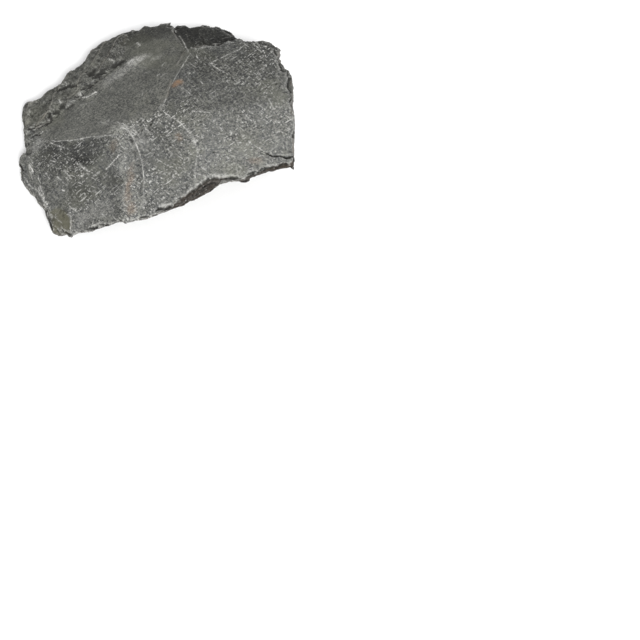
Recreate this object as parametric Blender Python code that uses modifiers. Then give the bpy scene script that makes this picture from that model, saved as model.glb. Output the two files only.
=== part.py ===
"""A loose slab of split slate, lying on its flat cleavage face.

Run it with: blender --background --python part.py

The slab is one stone. It is built the way slate comes out of a quarry: a stack of thin beds with ragged,
stepped walls, split along a few clean joints, with flakes and chips knocked off it afterwards. Everything
is in metres with +Z up, and the origin is on the ground under the middle of the slab.
"""

import math
import random

import bmesh
import bpy
from mathutils import Matrix, Vector, noise

# Driving dimensions, in metres
LENGTH = 0.178  # along X, left to right
WIDTH = 0.161  # along Y, front to back
THICKNESS = 0.038  # along Z, at the highest place

# A place below is in shares: of LENGTH and WIDTH from the middle, and of THICKNESS from the ground.

# The slab's outline seen from above, clockwise from the front tip.
OUTLINE = [
    (-0.270, -0.495), (-0.298, -0.495), (-0.340, -0.400), (-0.360, -0.350), (-0.400, -0.310),
    (-0.450, -0.225), (-0.485, -0.165), (-0.485, -0.125), (-0.465, -0.095), (-0.450, -0.080),
    (-0.465, -0.010), (-0.490, 0.075), (-0.500, 0.130), (-0.415, 0.205), (-0.355, 0.250),
    (-0.290, 0.330), (-0.255, 0.380), (-0.215, 0.425), (-0.170, 0.430), (-0.120, 0.450),
    (-0.075, 0.465), (-0.020, 0.470), (0.035, 0.468), (0.050, 0.482), (0.080, 0.487),
    (0.110, 0.475), (0.135, 0.490), (0.215, 0.480), (0.250, 0.445), (0.325, 0.335),
    (0.405, 0.315), (0.440, 0.280), (0.430, 0.240), (0.455, 0.205), (0.480, 0.165),
    (0.490, 0.005), (0.495, -0.105), (0.500, -0.185), (0.500, -0.230), (0.405, -0.265),
    (0.335, -0.300), (0.250, -0.300), (0.220, -0.305), (0.170, -0.345), (0.130, -0.380),
    (0.085, -0.425), (0.045, -0.450), (-0.010, -0.450), (-0.035, -0.470), (-0.110, -0.465),
    (-0.175, -0.470), (-0.210, -0.480),
]  # fmt: skip
HEART = (0.20, 0.0)  # every bed surrounds this point, and its wall is measured out from here

# The heights where one bed ends and the next begins.
BED_PLANES = [0.0, 0.06, 0.14, 0.20, 0.30, 0.37, 0.47, 0.54, 0.63, 0.70, 0.79, 0.87, 1.10]

# A joint is a plane that the stone split on: (a place on it, its dip in degrees, the heading it dips towards).
# Headings are anticlockwise from +X. An overhang's plane faces down and outwards, so the stone narrows
# towards the ground. A clean joint cuts straight through the beds. At a stepped one each bed broke by itself.
CLEAN_JOINTS = [
    ((0.085, -0.040, 0.968), 1.5, 292.0),  # the broad table
    ((-0.100, -0.055, 0.868), 7.3, 208.2),  # the middle panel
    ((-0.405, -0.220, 0.408), 38.0, 202.0),  # the bevel along the left end
]
CLEAN_OVERHANGS = [
    ((-0.270, -0.495, 0.340), 52.0, 290.0),  # under the front left edge
    ((-0.480, -0.145, 0.180), 45.0, 195.0),  # under the left end
]
STEPPED_JOINTS = [
    ((-0.280, 0.125, 0.560), 18.0, 156.0),  # the broken rim along the back left
]
STEPPED_OVERHANGS = [
    ((0.250, -0.300, 0.620), 50.0, 290.0),  # under the front right edge
    ((0.110, 0.485, 0.480), 55.0, 95.0),  # under the back edge
    ((0.495, -0.080, 0.630), 62.0, 0.0),  # under the right edge
    ((-0.365, 0.260, 0.400), 50.0, 140.0),  # under the back left edge
    ((0.300, 0.150, 0.130), 14.0, 55.0),  # a thin sheet off the underside, towards the back
    ((-0.150, -0.300, 0.120), 12.0, 240.0),  # and another, towards the front left
]

# A flake is a sheet that came away: its outline, then the joint that its floor lies on.
FLAKES = {
    "front_left_panel": (
        [
            (-0.007, -0.62), (-0.007, -0.455), (-0.008, -0.388), (-0.010, -0.305), (-0.020, -0.243),
            (-0.032, -0.189), (-0.050, -0.138), (-0.078, -0.085), (-0.100, -0.050), (-0.200, 0.200),
            (-0.400, 0.600), (-0.62, 0.30), (-0.62, -0.62),
        ],
        ((-0.032, -0.189, 0.850), 14.6, 198.0),
    ),
    "hollow": (
        [
            (-0.62, -0.20), (0.10, -0.20), (0.22, 0.26), (0.120, 0.285), (0.055, 0.56),
            (-0.10, 0.56), (-0.125, 0.42), (-0.130, 0.31), (-0.165, 0.26), (-0.225, 0.22),
            (-0.280, 0.125), (-0.375, 0.045), (-0.445, -0.01), (-0.62, -0.03),
        ],
        ((-0.100, -0.055, 0.842), 18.0, 156.4),
    ),
    "back_notch": (
        [(0.030, 0.60), (0.035, 0.460), (0.100, 0.285), (0.175, 0.302), (0.325, 0.330), (0.37, 0.60)],
        ((0.180, 0.310, 0.840), 21.0, 82.0),
    ),
}  # fmt: skip

# A scoop is a shallow bowl struck out of the stone: the place of its deepest point, its half length, half
# width and depth in metres, the dip and heading of the face it lies in, and its long side's turn in degrees.
SCOOPS = {
    "hollow_floor": ((-0.105, 0.098, 0.695), (0.054, 0.026, 0.0034), 18.0, 156.4, 38.0),
    "left_shell": ((-0.445, -0.175, 0.300), (0.017, 0.010, 0.0024), 38.0, 202.0, 110.0),
    "left_shell_low": ((-0.395, -0.300, 0.330), (0.014, 0.009, 0.0022), 38.0, 205.0, 115.0),
    "tip_chip": ((-0.315, -0.425, 0.395), (0.010, 0.008, 0.0018), 34.0, 215.0, 60.0),
    "front_shell": ((0.012, -0.425, 0.800), (0.016, 0.009, 0.0018), 18.0, 250.0, 5.0),
}
SCOOP_REACH = 1.6  # how far the bowl's ball reaches past the bowl, as a share of its half length

# Small knocks along the rim.
KNOCKS = 30
KNOCK_SIZES = (0.0024, 0.0050)
KNOCK_INSET = 0.0012  # in from the outline
SEED = 9

WALL_STEP = 0.0068  # spacing of the points round a bed
BED_RAGGED = [(0.036, 0.0024), (0.013, 0.0016)]  # how a bed's edge strays in and out: length and depth
RAGGED_STEPS = 2.2  # how much more it strays where a stepped joint cut it
PARTING = 0.0004  # height of the sloping tread between one bed's wall and the next
VOXEL = 0.0008  # the grain of the remesh that makes one skin of all the cuts
TRIANGLES = 9000  # the finished solid has about this many
GROUND_CUT = 0.0004  # sliced off at the end, so that the slab rests on one flat face
WAVES = [(0.046, 0.0016), (0.015, 0.0007), (0.005, 0.0003)]  # the waves of the faces: length and height
QUIET_BELOW = 0.006  # the waves die out towards the ground, where the slab rests flat
CUTTER_SIZE = 0.5


def at(share):
    """A place on the slab, in metres, from its shares of the length, width and thickness."""
    u, v, w = (*share, 0.0)[:3]
    return Vector((u * LENGTH, v * WIDTH, w * THICKNESS))


def joint_normal(dip, heading, overhang=False):
    """The outward normal of a joint."""
    dip, heading = math.radians(dip), math.radians(heading)
    up = -math.cos(dip) if overhang else math.cos(dip)
    return Vector((math.sin(dip) * math.cos(heading), math.sin(dip) * math.sin(heading), up))


def clear_scene():
    for obj in list(bpy.data.objects):
        bpy.data.objects.remove(obj)


def new_collection(name):
    collection = bpy.data.collections.new(name)
    bpy.context.scene.collection.children.link(collection)
    return collection


def new_object(name, bm, collection):
    mesh = bpy.data.meshes.new(name)
    bm.to_mesh(mesh)
    bm.free()
    obj = bpy.data.objects.new(name, mesh)
    collection.objects.link(obj)
    return obj


def new_cutter(name, bm, collection):
    cutter = new_object(name, bm, collection)
    cutter.hide_render = True
    cutter.display_type = "WIRE"
    return cutter


def outline_points():
    """The outline with a point every WALL_STEP, in metres, anticlockwise."""
    corners = [at(share) for share in reversed(OUTLINE)]
    points = []
    for start, end in zip(corners, corners[1:] + corners[:1]):
        steps = max(1, round((end - start).length / WALL_STEP))
        points += [start.lerp(end, i / steps) for i in range(steps)]
    return points


def wall_reach(direction, height, reach):
    """How far a bed at this height reaches from the heart, where stepped joints cut it short."""
    start = at(HEART) + Vector((0.0, 0.0, height))
    joints = [(joint, False) for joint in STEPPED_JOINTS] + [(joint, True) for joint in STEPPED_OVERHANGS]
    for (place, dip, heading), overhang in joints:
        normal = joint_normal(dip, heading, overhang)
        outwards = normal.dot(direction)
        if outwards > 0.0:
            reach = min(reach, normal.dot(at(place) - start) / outwards)
    return reach


def bed_ring(points, bed, height, middle):
    """One ring of points round a bed, at a height, with the bed's own ragged edge."""
    heart = at(HEART)
    bed_shift = Vector((0.0, 0.0, 7.3 * bed))
    ring = []
    for point in points:
        spoke = point - heart
        direction = spoke.normalized()
        ragged = sum(depth * noise.noise(point / length + bed_shift) for length, depth in BED_RAGGED)
        cut = wall_reach(direction, middle, spoke.length)
        reach = min(cut + RAGGED_STEPS * ragged, spoke.length + ragged)
        ring.append(heart + direction * reach + Vector((0.0, 0.0, height)))
    return ring


def stack_of_beds(collection):
    """The raw stone: each bed is a slice with an upright wall, joined to the next by a narrow tread."""
    points = outline_points()
    planes = [share * THICKNESS for share in BED_PLANES]
    rings = []
    for bed, (low, high) in enumerate(zip(planes, planes[1:])):
        middle = (low + high) / 2
        rings += [bed_ring(points, bed, height, middle) for height in (low, high - PARTING)]
    bm = bmesh.new()
    cap = bm.faces.new([bm.verts.new(place) for place in rings[0]])
    underside = cap.copy()
    underside.normal_flip()
    for ring in rings[1:]:
        cap = bmesh.ops.extrude_discrete_faces(bm, faces=[cap])["faces"][0]
        for vert, place in zip(cap.verts, ring):
            vert.co = place
    bmesh.ops.remove_doubles(bm, verts=bm.verts, dist=1e-6)
    bmesh.ops.recalc_face_normals(bm, faces=bm.faces)
    return new_object("slate_slab", bm, collection)


def add_joint_cutter(collection, name, joint, overhang):
    """A big block whose lower face lies on the joint, to split off all that is outside it."""
    place, dip, heading = joint
    bm = bmesh.new()
    bmesh.ops.create_cube(bm, size=CUTTER_SIZE)
    bmesh.ops.translate(bm, verts=bm.verts, vec=(0.0, 0.0, CUTTER_SIZE / 2))
    turn = joint_normal(dip, heading, overhang).to_track_quat("Z", "Y").to_matrix().to_4x4()
    bmesh.ops.transform(bm, matrix=Matrix.Translation(at(place)) @ turn, verts=bm.verts)
    new_cutter(name, bm, collection)


def add_flake_cutter(collection, name, outline, floor):
    """An upright prism over the outline, whose lower face is the flake's floor."""
    place, dip, heading = floor
    normal = joint_normal(dip, heading)
    bm = bmesh.new()
    face = bm.faces.new([bm.verts.new(at(share)) for share in outline])
    for vert in face.verts:
        vert.co.z = at(place).z - normal.xy.dot((vert.co - at(place)).xy) / normal.z
    top = bmesh.ops.extrude_face_region(bm, geom=[face])["geom"]
    for vert in (item for item in top if isinstance(item, bmesh.types.BMVert)):
        vert.co.z = 2 * THICKNESS
    bmesh.ops.recalc_face_normals(bm, faces=bm.faces)
    new_cutter(name, bm, collection)


def add_scoop_cutter(collection, name, place, half_sizes, dip, heading, turn):
    """A squashed ball that strikes a bowl of the given half length, half width and depth."""
    half_length, half_width, depth = half_sizes
    # The ball is lifted until only its lowest part cuts, so that the bowl has a gentle edge.
    wide = SCOOP_REACH
    squash = depth / (1.0 - math.sqrt(1.0 - 1.0 / wide**2))
    bm = bmesh.new()
    bmesh.ops.create_uvsphere(bm, u_segments=22, v_segments=18, radius=1.0)
    bmesh.ops.scale(bm, vec=(half_length * wide, half_width * wide, squash), verts=bm.verts)
    bmesh.ops.rotate(bm, matrix=Matrix.Rotation(math.radians(turn), 3, "Z"), verts=bm.verts)
    bmesh.ops.translate(bm, vec=(0.0, 0.0, squash), verts=bm.verts)
    tilt = Vector((0.0, 0.0, 1.0)).rotation_difference(joint_normal(dip, heading)).to_matrix().to_4x4()
    bmesh.ops.transform(bm, matrix=Matrix.Translation(at(place)) @ tilt, verts=bm.verts)
    new_cutter(name, bm, collection)


def keep_modified(slab):
    """Keeps the slab's shape with its modifiers as its own mesh."""
    depsgraph = bpy.context.evaluated_depsgraph_get()
    raw = slab.data
    slab.data = bpy.data.meshes.new_from_object(slab.evaluated_get(depsgraph))
    slab.modifiers.clear()
    bpy.data.meshes.remove(raw)


def cut_away(slab, cutters):
    """Takes the cutters out of the slab."""
    cut = slab.modifiers.new("cut", "BOOLEAN")
    cut.operation = "DIFFERENCE"
    cut.operand_type = "COLLECTION"
    cut.collection = cutters
    cut.solver = "EXACT"
    keep_modified(slab)


def add_knock_cutters(collection, slab):
    """Small lumpy cutters scattered along the rim of the slab's top."""
    rng = random.Random(SEED)
    bpy.context.view_layer.update()
    heart, down = at(HEART), Vector((0.0, 0.0, -1.0))
    for number, point in enumerate(rng.sample(outline_points(), KNOCKS)):
        inwards = (heart - point).normalized()
        above = point + inwards * KNOCK_INSET - down * 2 * THICKNESS
        found, place, *_ = slab.ray_cast(above, down)
        if not found:
            continue
        out = -(inwards + down).normalized()
        size = rng.uniform(*KNOCK_SIZES)
        stretch = (rng.uniform(0.9, 2.2), rng.uniform(0.8, 1.3), rng.uniform(0.4, 0.7))
        knock = bmesh.new()
        bmesh.ops.create_icosphere(knock, subdivisions=2, radius=size)
        bmesh.ops.scale(knock, vec=stretch, verts=knock.verts)
        spin = Matrix.Rotation(rng.uniform(0.0, math.tau), 4, "Z")
        move = Matrix.Translation(place + out * size * rng.uniform(0.1, 0.3))
        turn = out.to_track_quat("Z", "Y").to_matrix().to_4x4()
        bmesh.ops.transform(knock, matrix=move @ turn @ spin, verts=knock.verts)
        new_cutter(f"knock_{number:02d}", knock, collection)


def one_skin(slab):
    """Remeshes the slab, so that its cuts and beds share one even skin."""
    remesh = slab.modifiers.new("one skin", "REMESH")
    remesh.mode = "VOXEL"
    remesh.voxel_size = VOXEL
    keep_modified(slab)


def thin_out(slab):
    """Merges the skin's small faces into larger facets where it is flat."""
    facets = slab.modifiers.new("facets", "DECIMATE")
    facets.ratio = TRIANGLES / (2 * len(slab.data.polygons))
    facets.use_collapse_triangulate = True
    keep_modified(slab)


def weather(bm):
    """Gives the flat faces the gentle waves of split stone, and leaves the resting face flat."""
    for vert in bm.verts:
        shift = Vector()
        for number, (length, height) in enumerate(WAVES):
            shift += height * noise.noise_vector(vert.co / length + Vector((3.1 * number, 0.0, 5.7)))
        quiet = min(1.0, max(0.0, vert.co.z / QUIET_BELOW))
        shift.z *= quiet * quiet * (3.0 - 2.0 * quiet)
        vert.co += shift


def flatten_ground(bm):
    """Slices off the slab's lowest skin, so that it rests on one flat face."""
    ground = min(vert.co.z for vert in bm.verts) + GROUND_CUT
    geometry = [*bm.verts, *bm.edges, *bm.faces]
    cut = bmesh.ops.bisect_plane(
        bm, geom=geometry, plane_co=(0.0, 0.0, ground), plane_no=(0.0, 0.0, 1.0), clear_inner=True
    )
    rim = [item for item in cut["geom_cut"] if isinstance(item, bmesh.types.BMEdge)]
    bmesh.ops.holes_fill(bm, edges=rim, sides=0)
    bmesh.ops.triangulate(bm, faces=bm.faces)


def fit_to_size(bm):
    """Brings the stone to exactly LENGTH x WIDTH x THICKNESS, on the ground and centred."""
    low = Vector(min(vert.co[axis] for vert in bm.verts) for axis in range(3))
    high = Vector(max(vert.co[axis] for vert in bm.verts) for axis in range(3))
    for vert in bm.verts:
        share = [(vert.co[axis] - low[axis]) / (high[axis] - low[axis]) for axis in range(3)]
        vert.co = ((share[0] - 0.5) * LENGTH, (share[1] - 0.5) * WIDTH, share[2] * THICKNESS)


def reshape(slab, change):
    """Makes one change to the slab's mesh."""
    bm = bmesh.new()
    bm.from_mesh(slab.data)
    change(bm)
    bm.to_mesh(slab.data)
    bm.free()


def slate_material():
    material = bpy.data.materials.new("slate")
    material.use_nodes = True
    surface = material.node_tree.nodes["Principled BSDF"]
    surface.inputs["Base Color"].default_value = (0.15, 0.15, 0.145, 1.0)
    surface.inputs["Roughness"].default_value = 0.75
    return material


def main():
    clear_scene()
    slab = stack_of_beds(new_collection("slate slab"))
    splits = new_collection("splits")
    for number, joint in enumerate(CLEAN_JOINTS):
        add_joint_cutter(splits, f"joint_{number}", joint, False)
    for number, joint in enumerate(CLEAN_OVERHANGS):
        add_joint_cutter(splits, f"overhang_{number}", joint, True)
    for name, flake in FLAKES.items():
        add_flake_cutter(splits, name, *flake)
    cut_away(slab, splits)
    scoops = new_collection("scoops")
    for name, scoop in SCOOPS.items():
        add_scoop_cutter(scoops, name, *scoop)
    cut_away(slab, scoops)
    knocks = new_collection("knocks")
    add_knock_cutters(knocks, slab)
    cut_away(slab, knocks)
    one_skin(slab)
    reshape(slab, weather)
    thin_out(slab)
    reshape(slab, flatten_ground)
    reshape(slab, fit_to_size)
    slab.data.materials.clear()
    slab.data.materials.append(slate_material())


main()
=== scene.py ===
"""Slate slab: split, ledged and bruised stone on a pale studio floor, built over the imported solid."""

import itertools
import math

import bmesh
import bpy
import numpy as np
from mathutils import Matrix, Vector, kdtree


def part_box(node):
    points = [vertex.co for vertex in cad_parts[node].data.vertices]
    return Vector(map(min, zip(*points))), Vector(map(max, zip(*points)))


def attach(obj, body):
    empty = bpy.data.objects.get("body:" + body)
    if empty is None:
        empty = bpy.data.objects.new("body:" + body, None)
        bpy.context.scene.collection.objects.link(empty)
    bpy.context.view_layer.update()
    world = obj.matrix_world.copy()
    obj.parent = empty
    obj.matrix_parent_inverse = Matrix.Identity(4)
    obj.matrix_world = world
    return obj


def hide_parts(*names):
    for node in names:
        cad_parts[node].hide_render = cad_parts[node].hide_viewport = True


bl_info = {
    "name": "Slate Slab",
    "version": (1, 0, 0),
    "blender": (4, 5, 0),
    "location": "View3D > Sidebar > Slate",
    "description": "Splits, chips and stains a slate slab, and lays it on a pale studio floor",
    "category": "Add Mesh",
}

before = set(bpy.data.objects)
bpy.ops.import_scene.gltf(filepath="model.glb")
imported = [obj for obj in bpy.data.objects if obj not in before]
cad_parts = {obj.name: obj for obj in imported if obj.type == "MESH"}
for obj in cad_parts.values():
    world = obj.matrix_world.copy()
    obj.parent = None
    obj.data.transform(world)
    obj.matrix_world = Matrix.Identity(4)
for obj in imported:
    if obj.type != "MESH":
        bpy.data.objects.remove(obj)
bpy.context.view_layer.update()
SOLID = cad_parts["slate_slab"]
LOW, HIGH = (np.array(corner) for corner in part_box("slate_slab"))
SIZE = HIGH - LOW
MM = 0.001

# Places on the slab are thousandths of its length and width, from its middle.

# The faces that the slab broke into, seen from above.
PANEL_BROW = [(-105, -70), (-121, -92), (-169, -93), (-226, -86), (-273, -85), (-332, -77), (-377, -69)]
BEVEL_BROW = [(-460, -79), (-429, -147), (-406, -202), (-376, -286), (-356, -348), (-300, -440)]
PANEL_STEP = [(-103, -41), (-77, -86), (-53, -135), (-35, -185), (-21, -241), (-12, -306), (-9, -392), (-8, -438)]
RIM_BROW = [
    (-455, 7), (-413, 30), (-380, 64), (-347, 98), (-311, 131), (-289, 166), (-264, 217), (-238, 251), (-199, 270),
    (-156, 296), (-126, 336),
]
HOLLOW_BROW = [(31, 1), (54, 106), (96, 205), (125, 270)]
FRONT_LIP = [
    (102, -404), (129, -383), (169, -346), (198, -318), (221, -304), (248, -300), (285, -307), (305, -311),
    (333, -303), (370, -279), (407, -262), (450, -239), (495, -226),
]
LEFT_PANEL = PANEL_BROW + BEVEL_BROW + [(-270, -550), (-7, -550)] + PANEL_STEP[:0:-1]
LEFT_PANEL_DARK = [
    (-333, -84), (-276, -90), (-212, -94), (-186, -108), (-168, -152), (-176, -190), (-205, -205), (-266, -185),
    (-320, -158),
]
LEFT_PANEL_DENT = [(-281, -172), (-233, -175), (-225, -235), (-269, -243)]
HOLLOW = PANEL_BROW + RIM_BROW + [(-100, 550), (35, 550)] + HOLLOW_BROW[::-1]
BROKEN_RIM = RIM_BROW + [(-100, 600), (-600, 600), (-600, 7)]
BACK_NOTCH = [(30, 600), (36, 450), (110, 290), (156, 290), (259, 315), (325, 338), (370, 600)]
BACK_NOTCH_SHADOW = [(40, 600), (55, 440), (120, 340), (290, 360), (330, 600)]
LEFT_BEVEL = BEVEL_BROW + [(-270, -520), (-300, -650), (-600, -600), (-600, -60)]
OLIVE_CHIP = [
    (-349, -387), (-316, -382), (-282, -405), (-267, -418), (-263, -478), (-275, -550), (-330, -550), (-337, -426),
]
CENTRE_PANEL = PANEL_STEP + [(50, -550), (165, -370), (162, -284), (167, -184), (152, -127), (86, -43), (31, 1)]
FRONT_PLATEAU = [(100, -60), (220, -20), (520, 60), (520, -280), (250, -320), (163, -360), (160, -190)]
PLATEAU_BLUE = [(130, 239), (185, 272), (237, 230), (211, 170), (154, 172), (124, 201)]
PLATEAU_EDGE = [(108, 87), (150, 106), (168, 4), (99, -13)]
FRONT_LEDGES = FRONT_LIP + [(620, -180), (620, -620), (90, -620)]

# How light each face is painted beside the plateau, partly its own tone and partly painted light and shade, as the
# faces would be lit or shaded; and the millimetres over which it changes.
FACE_TONES = [
    (LEFT_PANEL, 0.7, 0.82), (LEFT_PANEL_DARK, 3, 0.68), (LEFT_PANEL_DENT, 1.5, 0.80), (HOLLOW, 0.7, 1.25),
    (BACK_NOTCH, 0.6, 0.65), (BACK_NOTCH_SHADOW, 3, 0.62), (LEFT_BEVEL, 0.8, 0.87), (CENTRE_PANEL, 0.9, 1.05),
    (FRONT_PLATEAU, 6, 1.30), (PLATEAU_BLUE, 1.2, 0.80), (PLATEAU_EDGE, 2, 0.86), (BROKEN_RIM, 3, 1.12),
]

# Lines where the stone is bruised pale: the places it passes, its width in millimetres and how strong it is.
BRUISES = [
    (PANEL_STEP[:6], 0.75, 1), (PANEL_STEP[5:], 0.9, 0.45), ([(-128, -23), (-101, -67)], 0.8, 0.8),
    ([(-26, -72), (-7, -103)], 0.6, 0.9), ([(86, -43), (119, -84), (152, -127), (167, -184)], 0.75, 0.75),
    ([(167, -184), (162, -284), (165, -331)], 0.8, 0.55), ([(162, -286), (206, -304)], 0.9, 0.5),
    (PANEL_BROW[1:], 0.55, 0.75), (HOLLOW_BROW, 0.6, 0.6), (BACK_NOTCH[3:6], 0.6, 0.5),
    ([(143, 255), (159, 225)], 0.6, 0.8), ([(195, 214), (239, 171)], 0.5, 0.9),
    ([(195, 214), (212, 224), (299, 288), (330, 325)], 0.45, 0.7), ([(159, 134), (178, 109)], 0.5, 0.7),
    ([(108, 92), (167, 31)], 0.45, 0.6), ([(137, -9), (175, -14), (207, -18)], 0.9, 1),
    ([(363, 180), (378, 161)], 0.6, 1), ([(357, 294), (382, 276)], 0.45, 0.9), ([(325, -15), (343, -46)], 0.9, 0.9),
    ([(272, -89), (280, -105), (276, -119)], 0.6, 0.9), ([(404, 56), (415, 29), (430, 1)], 0.5, 0.8),
    ([(215, -59), (229, -45)], 0.8, 0.8), ([(-105, -180), (-122, -201), (-156, -236)], 0.75, 1),
    ([(-376, -75), (-308, -119)], 0.75, 0.9), ([(-367, -157), (-340, -171)], 0.6, 0.9),
    ([(-315, -211), (-284, -240)], 0.6, 0.5), ([(-128, -220), (-93, -257)], 0.5, 0.5),
    ([(-174, -242), (-201, -265)], 0.5, 0.5), ([(-312, -290), (-297, -306)], 0.7, 1),
    ([(-412, -267), (-377, -320), (-342, -376)], 1.1, 0.7), ([(-448, -162), (-423, -232)], 0.8, 0.6),
    ([(-191, -383), (-183, -422), (-186, -466)], 0.5, 0.6), ([(-286, -401), (-267, -412), (-262, -495)], 0.6, 0.9),
    ([(-117, -436), (-97, -460)], 0.6, 0.8), ([(7, -441), (43, -439), (77, -423)], 0.8, 0.6),
    ([(-352, 227), (-335, 204)], 1.5, 1), ([(-365, 137), (-348, 112)], 1.3, 1),
    ([(-292, 161), (-264, 129)], 1.6, 1), ([(-264, 132), (-218, 162)], 1.5, 1),
    ([(-396, 36), (-386, 56)], 1.2, 0.9), ([(-432, -34), (-404, -9)], 1.2, 0.9),
    ([(-190, 307), (-160, 295)], 1, 0.6), ([(-92, 388), (-70, 358)], 1.4, 0.9), ([(38, 473), (55, 426)], 1.3, 1),
    ([(68, 411), (87, 364), (116, 277)], 0.6, 1), ([(-1, 180), (14, 196)], 0.6, 0.6),
    ([(12, 170), (40, 190)], 0.6, 0.5), ([(-175, -8), (-160, -6), (-149, 2)], 0.7, 0.5),
    ([(-445, -158), (-422, -203)], 0.8, 0.9), ([(-396, -258), (-380, -300), (-365, -348)], 1, 0.8),
    ([(-464, -201), (-418, -274)], 0.8, 0.6), ([(-264, -189), (-207, -242)], 0.8, 0.8),
    ([(-270, -230), (-240, -200)], 0.7, 0.6), ([(-310, -205), (-275, -259)], 0.7, 0.7),
    ([(-249, -252), (-228, -244)], 1.2, 0.8), ([(-305, -151), (-278, -173)], 0.5, 0.6),
    ([(-336, -231), (-312, -257)], 0.7, 0.7), ([(-380, -205), (-357, -245)], 0.8, 0.7),
    ([(-197, -317), (-171, -333)], 0.6, 0.6), ([(-273, -375), (-243, -403)], 0.7, 0.7),
    ([(-162, -416), (-147, -431)], 0.6, 0.7), ([(-330, -405), (-295, -440)], 0.6, 0.4),
    ([(-318, -450), (-290, -470)], 0.8, 0.5), ([(-71, -69), (-41, -106)], 0.5, 0.6),
    ([(-42, -108), (-25, -144)], 0.5, 0.5), ([(-21, -66), (-2, -107)], 0.8, 0.9),
    ([(144, -114), (161, -166)], 0.7, 0.7), ([(247, -210), (254, -212)], 1.2, 1),
    ([(301, -152), (318, -150)], 0.8, 0.9), ([(18, 12), (30, 34), (46, 56)], 0.8, 0.9),
    ([(30, 10), (52, 30)], 0.7, 0.6), ([(-450, -124), (-426, -166)], 0.6, 0.7),
    ([(-406, -216), (-391, -262)], 0.6, 0.8), ([(-420, -250), (-367, -345)], 0.7, 0.6),
    ([(-385, -309), (-342, -375)], 0.6, 0.7),
]

# Only the first of them, along the steps between the faces, stand up from the stone.
RAISED_BRUISES = 8

# Fine scratches strewn between the bruises: how many, their seed, and the headings in degrees that they keep near.
SCRATCHES, SCRATCH_SEED = 90, 31
SCRATCH_HEADINGS = (48, -42, 10, -75)

# Crevices in the broken rim, cut into the shape and painted dark as shade: where they run, how wide and how deep in
# millimetres.
GROOVES = [
    ([(-372, 187), (-334, 198), (-296, 204)], 1.7, 0.9), ([(-458, 5), (-426, 13), (-387, 31)], 1.6, 0.9),
    ([(-445, -29), (-411, -19)], 1, 0.6), ([(-386, 48), (-355, 81), (-343, 100)], 2.6, 0.8),
    ([(-303, 128), (-277, 151)], 1.8, 0.6), ([(-275, 181), (-252, 196)], 2.6, 0.6),
    ([(-256, 248), (-228, 272)], 2.2, 0.6), ([(-235, 236), (-185, 268), (-133, 292)], 2.6, 0.7),
    ([(150, 405), (181, 318)], 1.2, 0.4), ([(-478, -12), (-472, -70)], 1, 0.3),
    ([(-488, 55), (-484, 20)], 0.9, 0.3),
]

# Soft patches of colour: the place, half the length and breadth in millimetres, the heading in degrees, the strength.
RUST_SPOTS = [
    ((82, 117), 5.2, 3, 4, 1), ((104, -125), 3.5, 2.4, -50, 0.35), ((365, -227), 6, 3, 10, 0.28),
    ((-63, -320), 2.6, 17, -4, 0.42), ((-48, -424), 3, 6, 0, 0.40), ((-130, -140), 5, 3, 60, 0.16),
]
PALE_PATCHES = [
    ((-78, 284), 10, 3, 21, 0.85), ((-142, 236), 17, 5, 30, 0.48), ((-10, 275), 5, 1.2, 8, 0.40),
    ((-30, 215), 6, 1.2, 16, 0.25), ((-420, -80), 7, 4.5, 60, 0.5), ((-160, -400), 12, 7, 20, 0.35),
    ((-230, -440), 7, 6, 0, 0.35), ((-40, -120), 8, 13, 30, 0.30),
]

# The open crack near the thick end.
CRACK = [(402, -194), (426, -208), (453, -207), (471, -214), (491, -207)]

# The step between the plateau and the hollow, and how many millimetres right it is drawn at each share of the width.
HOLLOW_STEP = [(118, 305), (98, 255), (72, 180), (55, 115), (15, 35), (-10, -45)]
HOLLOW_STEP_SHIFT = ((-0.06, 0.02, 0.10, 0.20, 0.29), (6, 6.5, 4.2, 3.6, 1.8))

# Where that step dies away in a fold: the line, and the millimetres beside it over which the fold ends.
SOFT_FOLDS = [
    ([(85, 255), (66, 173), (46, 94), (4, 3), (-50, -42), (-95, -50)], 3, 8),
    ([(56, 85), (44, 45), (28, 10)], 3, 7.5), ([(42, 400), (64, 343), (88, 318)], 1.5, 4),
]

# Places where the outline is drawn in or out: the place, the shift and its reach in millimetres.
OUTLINE_NUDGES = [
    ((-480, 115), (-1.6, 7), 9), ((45, 470), (2.8, 0), 10), ((240, 420), (0, 2.2), 9), ((300, 365), (0, 4), 8),
    ((-385, 235), (0.6, -3.4), 11), ((-300, 335), (0.6, -3.8), 12), ((345, 335), (0, -1.8), 7),
    ((438, 285), (0.8, 2.2), 7), ((-349, 277), (0.9, -3), 8.5), ((-438, 190), (0.8, -2.8), 7),
    ((-488, 90), (-1.6, 2.2), 6), ((-75, 455), (0, 2.4), 6), ((-488, -170), (1.8, 0.6), 8),
    ((-303, 305), (-0.3, 2), 5),
]
RIM_CORNER = (-497, 112)

# Millimetres: the right rim and the tongue of the front lip are drawn out, and the wall under the lip leans back.
RIM_OUT, TONGUE_OUT, TONGUE_PLACE = 2.4, 3.2, 58.0
LEAN_TOP, LEAN_SLOPE, LEAN_BACK = 34.2, 0.62, 6.8
LIP_TOP, LEDGE_WIDTH, LEDGE_DROP, LEDGE_FLOOR = 33.4, 1.9, 2.3, 22.0

# Flakes knocked off the rims: how many, their seed, and the millimetres by which they spare the lines below.
FLAKES, FLAKE_SEED, FLAKE_GAP = 120, 12, 7
SPARED_LINES = [fold[0] for fold in SOFT_FOLDS] + [
    [(170, -300), (245, -270), (330, -240)], [(-110, -45), (-60, -110)], [(440, -170), (495, -165)],
]
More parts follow.
